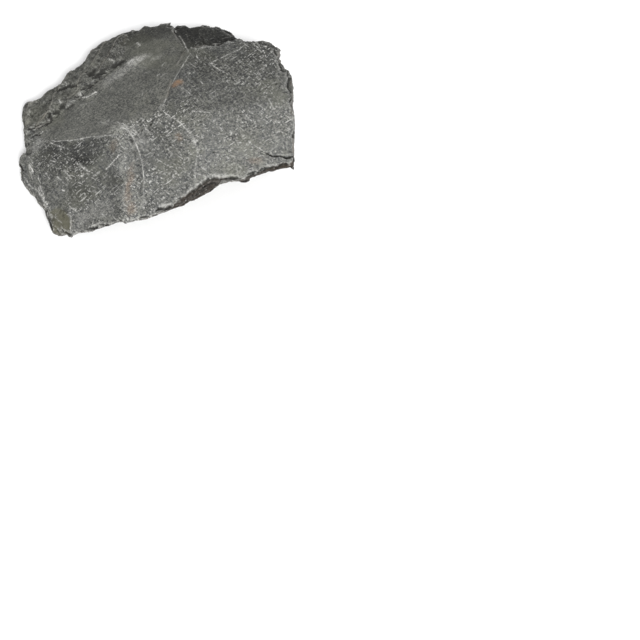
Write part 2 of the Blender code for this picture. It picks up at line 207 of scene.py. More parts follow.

# Where the stone is painted a little lighter or darker than its surroundings, as the patches above: partly its own
# tone and partly painted light and shade.
TONE_SPOTS = [
    ((185, 170), 15, 11, 30, -0.12), ((20, -100), 10, 8, 20, -0.20), ((-55, 265), 11, 7, 30, 0.22),
    ((430, -50), 26, 17, 90, 0.07), ((230, -210), 26, 13, 10, 0.18), ((80, -330), 20, 12, 20, 0.12),
    ((-170, -400), 26, 12, 10, 0.12), ((115, 400), 4.5, 9, -30, -0.18), ((-420, 110), 8, 3.5, 40, -0.22),
    ((-335, -415), 4, 2.6, -50, -0.35), ((-300, -395), 3.5, 1.6, -10, -0.25), ((-285, -450), 2.2, 4, 0, 0.22),
    ((-191, 389), 10, 6, 35, -0.20), ((-294, 252), 9, 5, 40, 0.18), ((-330, 30), 15, 9, 20, -0.12),
    ((-45, 430), 34, 9.5, 4, -0.42), ((-10, 215), 14, 8, 50, -0.16), ((-345, -17), 10, 6, 10, -0.18),
    ((276, 372), 6, 4, -20, -0.38), ((427, 293), 8, 4.5, -30, -0.36), ((-122, -442), 9, 5, 10, 0.20),
    ((-239, -332), 12, 8, -30, -0.28), ((353, 248), 13, 8, -20, -0.18), ((445, 102), 14, 6, 85, 0.20),
    ((452, -132), 9, 6, 90, 0.20), ((364, -223), 15, 6, 15, 0.10), ((2, -341), 12, 4, 85, 0.22),
    ((14, -428), 9, 4.5, 20, -0.30), ((-363, 157), 8, 4.5, 35, -0.26), ((-243, 313), 10, 4.5, 40, 0.24),
    ((-365, -125), 14, 9, 70, -0.44), ((-310, -196), 13, 7, 20, -0.20), ((-240, -186), 12, 6, 5, -0.26),
    ((-112, -300), 8, 6, 80, -0.20), ((-125, -400), 11, 5, 10, -0.24), ((-325, -337), 14, 8, 70, 0.20),
    ((-251, -360), 10, 9, 0, 0.14),
]

# Where dust and pale flecks gather, and the pale place on the left wall, partly weathering and partly painted light.
DUSTY_BAND = [(-100, -98), (-82, -180), (-58, -320), (-42, -480)]
FLECKED_LINE = [(-120, -50), (0, -30), (86, -44)]
FLECKED_PATCH = ((-255, -215), 20, 12, -20, 0.45)
LEFT_WALL_PATCH = ((-483, 20), 12, 3, 84, 0.8)

# Pale flecks and scratches: heading in radians, spacing along and across in metres, thickness, share of the cells.
FLECK_ROWS = (
    (0.75, 0.0028, 0.0011, 0.32, 0.24), (-0.70, 0.0031, 0.0011, 0.30, 0.24), (1.35, 0.0026, 0.0012, 0.30, 0.16),
    (-0.90, 0.0260, 0.0010, 0.22, 0.05), (0.60, 0.0240, 0.0010, 0.20, 0.05), (0.62, 0.0088, 0.0011, 0.30, 0.13),
    (-0.62, 0.0092, 0.0011, 0.30, 0.13), (0.0, 0.0015, 0.0015, 0.34, 0.10),
)
HATCH_ROWS = ((0.78, 0.0023, 0.00080, 0.40, 0.34), (-0.74, 0.0025, 0.00080, 0.40, 0.34))

# Colours that the slate's own are mixed with.
BLUISH = (0.090, 0.094, 0.098)
GREENISH = (0.150, 0.152, 0.120)
DARK_BED = (0.050, 0.048, 0.045)
PALE_BED = (0.215, 0.210, 0.195)
# Painted shade in the creases, grooves and the crack.
CREVICE_SHADE = (0.020, 0.020, 0.018)
WHITE = (1.0, 1.0, 1.0)

# Millimetres from the floor within which downward points are the resting face.
BASE_BAND = 0.45

# A slab with fewer faces than this came out broken.
FEWEST_FACES = 1000

CAMERA_PLACE = (0.1045, -0.3992, 0.5822)
CAMERA_PITCH = 65.0

# Whole numbers that stir the draws of the noise.
CELL_STEPS = np.array([73856093, 19349663, 83492791])
SEED_STEP = 2654435761
KEY_STIR = 1274126177

# What is stored at each of the slab's points for its material to read.
MASKS = (
    "wear", "crevice_shade", "bruise", "bruise_side", "crack_side", "rust", "olive", "pale", "flecks", "shade", "wall",
)


class SlateSlabSettings(bpy.types.PropertyGroup):
    mesh_grain: bpy.props.FloatProperty(
        name="Mesh grain", description="Spacing of the points that the relief is worked on",
        default=0.00056, min=0.0003, unit="LENGTH", precision=5)
    triangles: bpy.props.IntProperty(
        name="Triangles", description="Most triangles that the finished slab keeps", default=192000)
    bed_depth: bpy.props.FloatProperty(
        name="Bed depth", description="How far the split beds stand in and out of the broken sides",
        default=0.00075, unit="LENGTH", precision=5)
    split_height: bpy.props.FloatProperty(
        name="Split height", description="Height of the thin steps that splitting left on the flat faces",
        default=0.00022, unit="LENGTH", precision=5)
    chip_depth: bpy.props.FloatProperty(
        name="Chip depth", description="Depth of the flakes knocked off along the rims",
        default=0.00085, unit="LENGTH", precision=5)
    grain_depth: bpy.props.FloatProperty(
        name="Grain depth", description="Depth of the fine roughness of a fresh break",
        default=0.00009, unit="LENGTH", precision=5)
    crack_depth: bpy.props.FloatProperty(
        name="Crack depth", description="Depth of the open crack near the thick end",
        default=0.0013, unit="LENGTH", precision=5)
    stone: bpy.props.FloatVectorProperty(
        name="Stone", description="Colour of the slate where it is dry and clean",
        default=(0.122, 0.122, 0.109), subtype="COLOR", size=3, min=0, max=1)
    dark: bpy.props.FloatVectorProperty(
        name="Dark grains", description="Colour of the darkest grains and of fresh splits",
        default=(0.045, 0.046, 0.046), subtype="COLOR", size=3, min=0, max=1)
    dust: bpy.props.FloatVectorProperty(
        name="Dust", description="Colour of bruised stone, worn rims and rock dust",
        default=(0.530, 0.525, 0.500), subtype="COLOR", size=3, min=0, max=1)
    rust: bpy.props.FloatVectorProperty(
        name="Rust", description="Colour of the iron stains",
        default=(0.235, 0.150, 0.095), subtype="COLOR", size=3, min=0, max=1)
    olive: bpy.props.FloatVectorProperty(
        name="Olive", description="Colour of the weathered chips and old joint faces",
        default=(0.108, 0.102, 0.067), subtype="COLOR", size=3, min=0, max=1)
    bed_brown: bpy.props.FloatVectorProperty(
        name="Bed brown", description="Colour of the earthy streaks along the beds",
        default=(0.105, 0.085, 0.062), subtype="COLOR", size=3, min=0, max=1)


class SlateStageSettings(bpy.types.PropertyGroup):
    floor: bpy.props.FloatVectorProperty(
        name="Floor", description="Colour of the studio floor",
        default=(0.93, 0.93, 0.93), subtype="COLOR", size=3, min=0, max=1)
    floor_width: bpy.props.FloatProperty(
        name="Floor width", description="Width of the studio floor", default=12.0, unit="LENGTH")
    key_strength: bpy.props.FloatProperty(
        name="Key light", description="Strength of the soft light in front", default=3.5)
    key_heading: bpy.props.FloatProperty(
        name="Key heading", description="Where the soft light stands, in degrees round from +X", default=-66.0)
    key_height: bpy.props.FloatProperty(
        name="Key height", description="Height of the soft light in degrees above the floor", default=44.0)
    sky: bpy.props.FloatProperty(
        name="Surround", description="Strength of the even light from all round", default=0.66)
    focal_length: bpy.props.FloatProperty(
        name="Focal length", description="Focal length of the camera's lens",
        default=60.0, unit="CAMERA")


# ---- working on the mesh's points, all in millimetres ----


def first_keys(cells, seed):
    """A whole number for each cell of a pattern, to draw from."""
    return cells @ CELL_STEPS + SEED_STEP * (seed + 1)


def draw(keys):
    """The next keys, and a draw from 0 to 65535 for each."""
    keys = ((keys ^ (keys >> 13)) * KEY_STIR) & 0x7FFFFFFF
    return keys, (keys ^ (keys >> 15)) & 0xFFFF


def lumps(places, size, seed=0):
    """Smooth noise from -1 to 1 whose lumps are size across, or of a size for each axis."""
    turned = places @ TURNS[seed % len(TURNS)] if np.ndim(size) == 0 else places
    scaled = turned / np.asarray(size) + 31.7 * seed
    cell = np.floor(scaled)
    part = scaled - cell
    part = part * part * part * (part * (6 * part - 15) + 10)
    cell = cell.astype(np.int64)
    total = np.zeros(len(places))
    for corner in itertools.product((0, 1), repeat=3):
        value = draw(first_keys(cell + corner, seed))[1] / 32767.5 - 1
        total += value * np.prod(np.where(corner, part, 1 - part), axis=1)
    return total


def turn_matrix(about_x, about_z):
    """A turn by two angles in radians, for rows of places to be multiplied by."""
    cx, sx, cz, sz = math.cos(about_x), math.sin(about_x), math.cos(about_z), math.sin(about_z)
    return np.array([[1, 0, 0], [0, cx, -sx], [0, sx, cx]]) @ np.array([[cz, -sz, 0], [sz, cz, 0], [0, 0, 1]])


TURNS = [turn_matrix(0.5 + 0.9 * i, 0.3 + 1.3 * i) for i in range(5)]


def rough(places, size, seed=0, layers=3):
    """Noise from about -1 to 1 with finer lumps laid over the large ones."""
    total = sum(lumps(places, size / 2.1**i, seed + i) * 0.55**i for i in range(layers))
    return total / sum(0.55**i for i in range(layers)) * 1.4


def chips(places, size, seed=0):
    """Flat scraps from about -1 to 1, each tilted its own way and ending in a step, as broken stone has."""
    scaled = places / np.asarray(size) + 17.3 * (seed + 1)
    cell = np.floor(scaled).astype(np.int64)
    nearest, height = np.full(len(places), np.inf), np.zeros(len(places))
    for corner in itertools.product((-1, 0, 1), repeat=3):
        spot = cell + corner
        keys = first_keys(spot, seed)
        draws = []
        for _ in range(4):
            keys, drawn = draw(keys)
            draws.append(drawn / 65535)
        away = scaled - spot - np.column_stack(draws[:3])
        distance = np.einsum("ij,ij->i", away, away)
        tilted = 2 * draws[3] - 1 + away @ (1.5, -1.1, 0.6) * (draws[0] - 0.5)
        tilted += away @ (-0.8, 1.4, 0.9) * (draws[1] - 0.5)
        closer = distance < nearest
        nearest, height = np.where(closer, distance, nearest), np.where(closer, tilted, height)
    return height


def sideways(noise, points, size, *seeds, **options):
    """A shift for each point in as many directions as there are seeds."""
    return np.column_stack([noise(points, size, seed, **options) for seed in seeds])


def ease(values, start, end):
    """0 up to the start, 1 from the end on, and a smooth rise between."""
    share = np.clip((values - start) / (end - start), 0, 1)
    return share * share * (3 - 2 * share)


def stretch(values, start, full, fading, end):
    """1 over a stretch of the values and 0 before and past it."""
    return ease(values, start, full) * (1 - ease(values, fading, end))


def steep(normals, start, end):
    """1 on the steep sides and 0 on the flat faces."""
    return 1 - ease(np.abs(normals[:, 2]), start, end)


def on_plan(places):
    """Thousandths of the slab's length and width as millimetres from its middle."""
    return np.array(places, float) / 1000 * SIZE[:2] / MM


def width_share(plan):
    """How far back each point lies, as a share of the slab's width from its middle."""
    return plan[:, 1] * MM / SIZE[1]


def near_corners(plan, corners):
    """Distance from a line through corners that are given in millimetres."""
    nearest = np.full(len(plan), np.inf)
    for a, b in zip(corners, corners[1:]):
        along = np.clip((plan - a) @ (b - a) / ((b - a) @ (b - a)), 0, 1)
        nearest = np.minimum(nearest, np.linalg.norm(plan - a - along[:, None] * (b - a), axis=1))
    return nearest


def near_line(plan, line):
    """Distance in millimetres from a line through places on the slab."""
    return near_corners(plan, on_plan(line))


def close_to(plan, line, full, end):
    """1 near a line through places on the slab, fading between two distances in millimetres."""
    return 1 - ease(near_line(plan, line), full, end)


def inside(plan, outline, blur):
    """1 inside an outline through places on the slab and 0 outside it, easing over blur millimetres."""
    corners = on_plan([*outline, outline[0]])
    crossings = np.zeros(len(plan), bool)
    for a, b in zip(corners, corners[1:]):
        if a[1] != b[1]:
            crossing_x = a[0] + (plan[:, 1] - a[1]) * (b[0] - a[0]) / (b[1] - a[1])
            crossings ^= ((a[1] > plan[:, 1]) != (b[1] > plan[:, 1])) & (plan[:, 0] < crossing_x)
    nearest = near_corners(plan, corners)
    return ease(np.where(crossings, nearest, -nearest), -blur, blur)


def beside_line(plan, corners):
    """Distance from a line through corners in millimetres, positive on its left, and 1 along it fading at its ends."""
    steps = np.linalg.norm(np.diff(corners, axis=0), axis=1)
    best, side, along_line = np.full(len(plan), np.inf), np.zeros(len(plan)), np.zeros(len(plan))
    for a, b, step, start in zip(corners, corners[1:], steps, np.cumsum(steps) - steps):
        heading = (b - a) / step
        along = np.clip((plan - a) @ heading, 0, step)
        off = plan - a - along[:, None] * heading
        away = np.linalg.norm(off, axis=1)
        closer = away < best
        best = np.where(closer, away, best)
        turned = heading[0] * (plan[:, 1] - a[1]) - heading[1] * (plan[:, 0] - a[0])
        side = np.where(closer, np.where(turned < 0, -away, away), side)
        along_line = np.where(closer, start + along, along_line)
    fade = min(1.0, 0.3 * steps.sum())
    return side, ease(along_line, 0, fade) * ease(steps.sum() - along_line, 0, fade)


def patch(plan, spot):
    """An oval patch that fades towards its rim."""
    place, long_half, short_half, heading, strength = spot
    turned = math.radians(heading)
    away = plan - on_plan(place)
    u = away @ (math.cos(turned), math.sin(turned)) / long_half
    v = away @ (-math.sin(turned), math.cos(turned)) / short_half
    return strength * (1 - ease(np.hypot(u, v), 0.35, 1.15))


def read_points(mesh):
    """The mesh's points in millimetres."""
    points = np.empty(len(mesh.vertices) * 3)
    mesh.vertices.foreach_get("co", points)
    return points.reshape(-1, 3) / MM


def write_points(mesh, points):
    """Puts the mesh's points at places in millimetres."""
    mesh.vertices.foreach_set("co", (points * MM).ravel())
    mesh.update()


def read_normals(mesh):
    """The way that the surface faces at each of the mesh's points."""
    normals = np.empty(len(mesh.vertices) * 3, np.float32)
    mesh.vertex_normals.foreach_get("vector", normals)
    return normals.reshape(-1, 3).astype(float)


def read_edges(mesh):
    """The two points that each edge joins."""
    edges = np.empty(len(mesh.edges) * 2, np.int32)
    mesh.edges.foreach_get("vertices", edges)
    return edges.reshape(-1, 2)


def spread(values, edges, rounds):
    """Each point's values averaged with its neighbours', a number of rounds over."""
    count = np.bincount(edges.ravel(), minlength=len(values))[:, None] + 1.0
    for _ in range(rounds):
        total = values.copy()
        for column in range(values.shape[1]):
            total[:, column] += np.bincount(edges[:, 0], values[edges[:, 1], column], len(values))
            total[:, column] += np.bincount(edges[:, 1], values[edges[:, 0], column], len(values))
        values = total / count
    return values


def with_modifier(thing, kind, **values):
    """Applies one modifier to a mesh object."""
    modifier = thing.modifiers.new(kind.title(), kind)
    for name, value in values.items():
        setattr(modifier, name, value)
    graph = bpy.context.evaluated_depsgraph_get()
    finished = bpy.data.meshes.new_from_object(thing.evaluated_get(graph))
    thing.modifiers.clear()
    old, thing.data = thing.data, finished
    bpy.data.meshes.remove(old)


# ---- the slab's shape ----


def solid_copy():
    """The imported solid's mesh with its loose triangles merged, as a new object."""
    work = bmesh.new()
    work.from_mesh(SOLID.data)
    bmesh.ops.remove_doubles(work, verts=work.verts, dist=0.01 * MM)
    mesh = bpy.data.meshes.new("slab")
    work.to_mesh(mesh)
    work.free()
    slab = bpy.data.objects.new("slab", mesh)
    bpy.context.scene.collection.objects.link(slab)
    return slab


def off_ground(points):
    """0 at the resting face, which stays flat, and 1 just above it."""
    return ease(points[:, 2], 0.25, 1.6)


def settle_step(points, edges):
    """Draws the step beside the hollow to its place, and lets its front end die away in a soft fold."""
    plan = points[:, :2]
    near = close_to(plan, HOLLOW_STEP, 4.0, 22.0)
    top = ease(points[:, 2], 20, 27)
    moved = points.copy()
    moved[:, 0] += near * top * np.interp(width_share(plan), *HOLLOW_STEP_SHIFT)
    folded = top * np.maximum.reduce([close_to(moved[:, :2], *fold) for fold in SOFT_FOLDS])
    smooth = spread(moved, edges, 90)
    return moved + (smooth - moved) * folded[:, None]


def true_outline(points):
    """Draws the outline in and out, and leans the wall at the front right back under its lip."""
    moved = points.copy()
    for place, shift, reach in OUTLINE_NUDGES:
        close = 1 - ease(np.linalg.norm(points[:, :2] - on_plan(place), axis=1), 0.15 * reach, reach)
        moved[:, :2] += close[:, None] * np.array(shift)
    side = stretch(points[:, 0], 34, 48, 86, 89)
    edge = close_to(points[:, :2], FRONT_LIP, 5.0, 18.0)
    moved[:, 1] += side * edge * np.clip(LEAN_SLOPE * (LEAN_TOP - points[:, 2]), 0, LEAN_BACK)
    upper = ease(points[:, 2], 29.5, 32.5)
    right_rim = ease(points[:, 0], 68, 83) * upper
    moved[:, 0] += RIM_OUT * right_rim * stretch(points[:, 1], -24, -10, 34, 44)
    tongue = 1 - ease(np.abs(points[:, 0] - TONGUE_PLACE), 5.0, 16.0)
    tongue *= upper * close_to(points[:, :2], FRONT_LIP, 3.5, 12)
    moved[:, 1] -= TONGUE_OUT * tongue
    return moved


def soften_rim(points, normals, edges):
    """Merges the small ledges of the broken rim into one rolling slope."""
    plan = points[:, :2]
    upper = ease(normals[:, 2], -0.25, 0.0)
    total = spread(np.column_stack([points[:, 2] * upper, upper]), edges, 110)
    rolling = total[:, 0] / np.maximum(total[:, 1], 1e-6)
    share = inside(plan, BROKEN_RIM, 2.0) * ease(points[:, 2], 4, 8) * upper
    moved = points.copy()
    moved[:, 2] += (rolling - moved[:, 2]) * share
    corner = np.linalg.norm(plan - on_plan(RIM_CORNER), axis=1)
    around = inside(plan, BROKEN_RIM, 2.0) * ease(points[:, 2], 2, 5) * (0.25 + 0.75 * ease(corner, 2, 9))
    moved[:, :2] += (spread(points[:, :2], edges, 25) - points[:, :2]) * around[:, None]
    return moved


def split_into_beds(points, normals, depth):
    """Moves the broken sides in and out bed by bed."""
    sides = steep(normals, 0.45, 0.85)
    level = points[:, 2] + 0.9 * lumps(points, (34, 34, 60), 3) + 0.35 * lumps(points, (9, 9, 40), 4)
    bedded = np.column_stack([points[:, 0], points[:, 1], level])
    broad = np.tanh(2.6 * lumps(bedded, (24, 24, 2.3), 11))
    thin = np.tanh(2.2 * lumps(bedded, (9, 9, 1.05), 12))
    flat = normals * (1, 1, 0)
    flat /= np.maximum(np.linalg.norm(flat, axis=1), 0.2)[:, None]
    sides *= 1 - 0.7 * inside(points[:, :2], BROKEN_RIM, 2) * ease(normals[:, 2], 0.15, 0.4)
    shift = depth * (0.75 * broad + 0.35 * thin) - 0.25 * depth
    return points + flat * (shift * sides * off_ground(points))[:, None]


def split_faces(points, normals, height):
    """Leaves thin ragged steps on the flat faces, where layers split away."""
    plan = points[:, :2]
    wander = points * (1, 1, 0.15)
    wander[:, :2] += 1.6 * sideways(lumps, points, 6, 21, 22)
    field = 2.4 * rough(wander, 36, 23, 2) + 0.5 * lumps(wander, 7, 26)
    step = np.floor(field) + ease(field - np.floor(field), 0.0, 0.12)
    quiet = 1 - 0.45 * inside(plan, HOLLOW, 4)
    drop = height * (step - field) * quiet
    upper = ease(np.abs(normals[:, 2]), 0.2, 0.7)
    moved = points.copy()
    moved[:, 2] += drop * upper * off_ground(points)
    return moved


def knock_flakes(points, normals, wear, depth):
    """Takes ragged flakes off along the worn rims, each down to a flat bed."""
    rng = np.random.default_rng(FLAKE_SEED)
    rims = (wear > 0.45) & (normals[:, 2] > 0.15) & (points[:, 2] > 4)
    rims = np.flatnonzero(rims & (inside(points[:, :2], BROKEN_RIM, 1.0) < 0.5))
    moved = points.copy()
    for centre in rng.choice(rims, FLAKES, replace=False):
        place = points[centre]
        outward = normals[centre, :2] / max(np.linalg.norm(normals[centre, :2]), 1e-6)
        size = min(1.3 * rng.lognormal(0.25, 0.55), 7.0)
        drop = depth * rng.uniform(0.25, 1.0)
        if min(near_line(place[None, :2], line)[0] for line in SPARED_LINES) < FLAKE_GAP:
            continue
        close = np.flatnonzero(np.abs(points - place).max(axis=1) < 2.6 * size)
        away = moved[close] - place
        out = away[:, :2] @ outward
        along = away[:, :2] @ (-outward[1], outward[0])
        reach = np.hypot(out / 0.7, along / 1.9) / size
        reach += 0.22 * lumps(points[close], 2.2, 31) + 0.10 * lumps(points[close], 0.9, 32)
        level = place[2] - drop + 0.10 * out + 0.06 * lumps(points[close], 1.6, 33)
        taken = (1 - ease(reach, 0.86, 1.0)) * (np.abs(away[:, 2]) < 2.4 * drop + 0.8)
        lower = np.minimum(moved[close, 2], level)
        moved[close, 2] += (lower - moved[close, 2]) * taken
    return moved


def roughen(points, normals, depth):
    """Fine broken roughness, stronger on the rims and sides than on the split faces."""
    plan = points[:, :2]
    sides = steep(normals, 0.5, 0.9)
    strength = (1 + 0.8 * sides) * (1 - 0.5 * inside(plan, HOLLOW, 3)) * off_ground(points)
    rim = inside(plan, BROKEN_RIM, 2.5) * (normals[:, 2] > 0)
    coarse = 2.0 * rough(points, 5.5, 41, 2)
    fine = lumps(points, 1.25, 44)
    dents = -2.2 * ease(lumps(points, 3.1, 46), 0.45, 0.9)
    shift = depth * strength * (coarse + fine + dents)
    broken = np.flatnonzero(np.maximum(sides, rim) > 0.05)
    places = points[broken] + 0.5 * sideways(lumps, points[broken], 1.8, 81, 82, 83)
    turned = places @ turn_matrix(0.0, -0.75)
    scraps = 0.34 * chips(turned, (7.5, 4.0, 2.6), 1) + 0.15 * chips(turned, (2.8, 1.9, 1.2), 2)
    shift[broken] += scraps * np.maximum(0.75 * sides, 0.5 * rim)[broken] * off_ground(points[broken])
    return points + normals * shift[:, None]


def jagged(points):
    """A small sideways shift that makes a line torn and uneven."""
    return 0.75 * sideways(chips, points, (1.9, 1.9, 4.0), 6, 7)


def shape_ridges(points, normals, settings):
    """The sharp bends between the faces, the open crack and the scars."""
    plan = points[:, :2]
    warped = plan + 0.5 * sideways(lumps, points, 2.4, 51, 52)
    upward = ease(normals[:, 2], 0.3, 0.7)
    rise = np.zeros(len(points))
    for line, width, strength in BRUISES[:RAISED_BRUISES]:
        away = near_line(warped, line)
        rise += 0.16 * strength * (1 - ease(away, 0.15, 0.6 * width + 0.9))
        rise -= 0.10 * strength * (1 - ease(np.abs(away - 1.8), 0.0, 1.2))
    crack = near_line(warped, CRACK)
    rise -= settings.crack_depth / MM * (1 - ease(crack, 0.20, 0.75))
    tilt = (warped - on_plan(CRACK[2])) @ (-0.15, -1.0)
    rise -= 0.35 * ease(tilt, 0.0, 0.5) * (1 - ease(crack, 1.0, 5.0))
    torn = warped + jagged(points)
    broken = ease(lumps(points, 5.0, 55), -0.8, 0.3)
    for line, width, depth in GROOVES:
        rise -= depth * broken * close_to(torn, line, 0.25 * width, width)
    moved = points.copy()
    moved[:, 2] += rise * upward
    return moved


def carve_lip(points):
    """Breaks the plateau's front edge down bed by bed under a sharp lip."""
    plan = points[:, :2] + 0.55 * sideways(rough, points, 4, 57, 59, layers=2)
    beyond = np.abs(near_line(plan, FRONT_LIP)) + 0.5 * lumps(points, 7, 56)
    ledge = LIP_TOP - LEDGE_DROP * np.floor(beyond / LEDGE_WIDTH) - 0.5 * beyond
    ledge += 0.35 * lumps(points, (3, 3, 40), 58)
    outside = inside(plan, FRONT_LEDGES, 0.3) * stretch(points[:, 0], 18, 24, 44, 56)
    moved = points.copy()
    moved[:, 2] += outside * (np.minimum(moved[:, 2], np.maximum(ledge, LEDGE_FLOOR)) - moved[:, 2])
    return moved


def sharpness(points, normals, edges, rounds):
    """How far each point stands out of its surroundings, in millimetres. A hollow is negative."""
    return np.einsum("ij,ij->i", points - spread(points, edges, rounds), normals)


def relieve(slab, settings):
    """Works the slab's relief into its mesh, and returns each point's wear, how deep it sits in a crease (for painted
    shade) and broad normal.
    """
    mesh = slab.data
    edges = read_edges(mesh)
    points = read_points(mesh)
    flat_base = (points[:, 2] < BASE_BAND) & (read_normals(mesh)[:, 2] < -0.9)
    points[flat_base, 2] = 0
    broad = spread(read_normals(mesh), edges, 5)
    broad /= np.maximum(np.linalg.norm(broad, axis=1), 1e-6)[:, None]
    wear = ease(sharpness(points, broad, edges, 14), 0.10, 0.45)
    points = soften_rim(true_outline(settle_step(points, edges)), broad, edges)
    points = split_into_beds(points, broad, settings.bed_depth / MM)
    points = split_faces(points, broad, settings.split_height / MM)
    points = knock_flakes(points, broad, wear, settings.chip_depth / MM)
    points = shape_ridges(points, broad, settings)
    points = carve_lip(points)
    write_points(mesh, points)
    points = roughen(points, read_normals(mesh), settings.grain_depth / MM)
    points[flat_base, 2] = 0.35 * ease(rough(points[flat_base], 9, 47, 4), 0.05, 1.1)
    points = np.clip(points, LOW / MM, HIGH / MM)
    write_points(mesh, points)
    normals = read_normals(mesh)
    fine, wide = sharpness(points, normals, edges, 3), sharpness(points, normals, edges, 16)
    worn = ease(fine, 0.03, 0.16) * 0.6 + ease(wide, 0.10, 0.45) * 0.7
    # How deep each point sits in a crease, painted dark later as shade.
    crease_shade = ease(-fine, 0.03, 0.14) * 0.6 + ease(-wide, 0.08, 0.40) * 0.7
    return np.clip(worn, 0, 1), np.clip(crease_shade, 0, 1), broad


def nearest_values(points, values, wanted):
    """The values of the nearest of the old points at each new one."""
    tree = kdtree.KDTree(len(points))
    for index, place in enumerate(points):
        tree.insert(place, index)
    tree.balance()
    return values[[tree.find(place)[1] for place in wanted]]


def draw_bruises(plan, breaks):
    """How strong the nearest bruise or scratch is at each point, and how far to its side in widths of it."""
    rng = np.random.default_rng(SCRATCH_SEED)
    lines = [(on_plan(line), width, peak, 0.55) for line, width, peak in BRUISES]
    for _ in range(SCRATCHES):
        start = rng.uniform((-0.45, -0.45), (0.48, 0.40))
        heading = math.radians(rng.choice(SCRATCH_HEADINGS) + rng.normal(0, 14))
        reach = min(rng.lognormal(1.45, 0.55), 14.0) * MM
        end = start + reach * np.array([math.cos(heading), math.sin(heading)]) / SIZE[:2]
        corners = np.array([start, end]) * SIZE[:2] / MM
        scratch = (corners, rng.uniform(0.40, 0.65), rng.uniform(0.15, 0.65), 0.1)
        if near_line(corners[:1], CRACK)[0] > 14:
            lines.append(scratch)
    strength, side, least = np.zeros(len(plan)), np.full(len(plan), 6.0), np.zeros(len(plan))
    nearest = np.full(len(plan), 2.6)
    for corners, width, peak, floor in lines:
        away, along = beside_line(plan, corners)
        closer = (np.abs(away) < nearest) & (along > 0)
        nearest = np.where(closer, np.abs(away), nearest)
        strength = np.where(closer, peak * along * (1 - ease(np.abs(away), 1.6, 2.5)), strength)
        side = np.where(closer, away / width, side)
        least = np.where(closer, floor, least)
    return strength * np.clip(0.75 + 0.9 * breaks, least, 1.0), np.clip(side, -6, 6)


def lip_wall_in_shadow(points):
    """1 on the wall under the front lip, where painted shadow goes, and 0 elsewhere."""
    plan = points[:, :2]
    below = inside(plan, FRONT_LEDGES, 0.35) * ease(plan[:, 0], 14, 22) * (1 - ease(points[:, 2], 33.6, 34.4))
    return np.maximum(below, close_to(plan, FRONT_LIP, 3, 8) * (1 - ease(points[:, 2], 31, 33)))


def paint_shade(points, ragged, shaken, upward):
    """How light the stone is at each point beside its plain colour: partly its own tone, and partly painted light and
    shade of its faces, with painted shade towards the back.
    """
    plan = points[:, :2]
    shade = np.ones(len(points))
    for outline, blur, tone in FACE_TONES:
        shade *= 1 + (tone - 1) * inside(shaken, outline, blur) * upward
    for spot in TONE_SPOTS:
        shade *= 1 + patch(ragged, spot) * upward
    shade *= 1 + 0.78 * close_to(ragged, DUSTY_BAND, 3.0, 9.0) * upward
    # Painted shade: the upward faces grow darker towards the back, as if the light fell away there.
    shade *= 1 - 0.38 * ease(width_share(plan), -0.22, 0.42) * upward
    scraps = np.column_stack([shaken @ (0.75, -0.66), shaken @ (0.66, 0.75), 0.3 * points[:, 2]])
    facets = 0.6 * chips(scraps, (15.0, 9.0, 30.0), 3) + 0.4 * chips(scraps, (6.5, 4.2, 12.0), 4)
    shade *= 1 + (0.045 + 0.11 * inside(plan, LEFT_PANEL, 1)) * facets * (1 - 0.6 * inside(plan, HOLLOW, 3))
    mottle = 0.5 * chips(scraps, (4.2, 2.2, 6.0), 5) + 0.6 * rough(scraps, 2.6, 73, 3)
    return shade * (1 + 0.58 * mottle * inside(plan, BROKEN_RIM, 2))


def paint_flecks(points, ragged):
    """How thickly the pale flecks lie at each point."""
    plan = points[:, :2]
    flecks = 0.45 + 0.55 * rough(points, 26, 71, 2) + patch(ragged, FLECKED_PATCH)
    for outline, blur, more in (
        (FRONT_PLATEAU, 8, 0.5), (CENTRE_PANEL, 4, 0.42), (LEFT_PANEL, 2, 0.18), (BROKEN_RIM, 2, -0.42),
        (HOLLOW, 3, -0.75), (BACK_NOTCH, 2, -0.5), (OLIVE_CHIP, 1, -0.6),
    ):
        flecks += more * inside(plan, outline, blur)
    return flecks + 0.48 * close_to(plan, FLECKED_LINE, 2, 11) + 0.4 * close_to(plan, DUSTY_BAND, 2, 8)


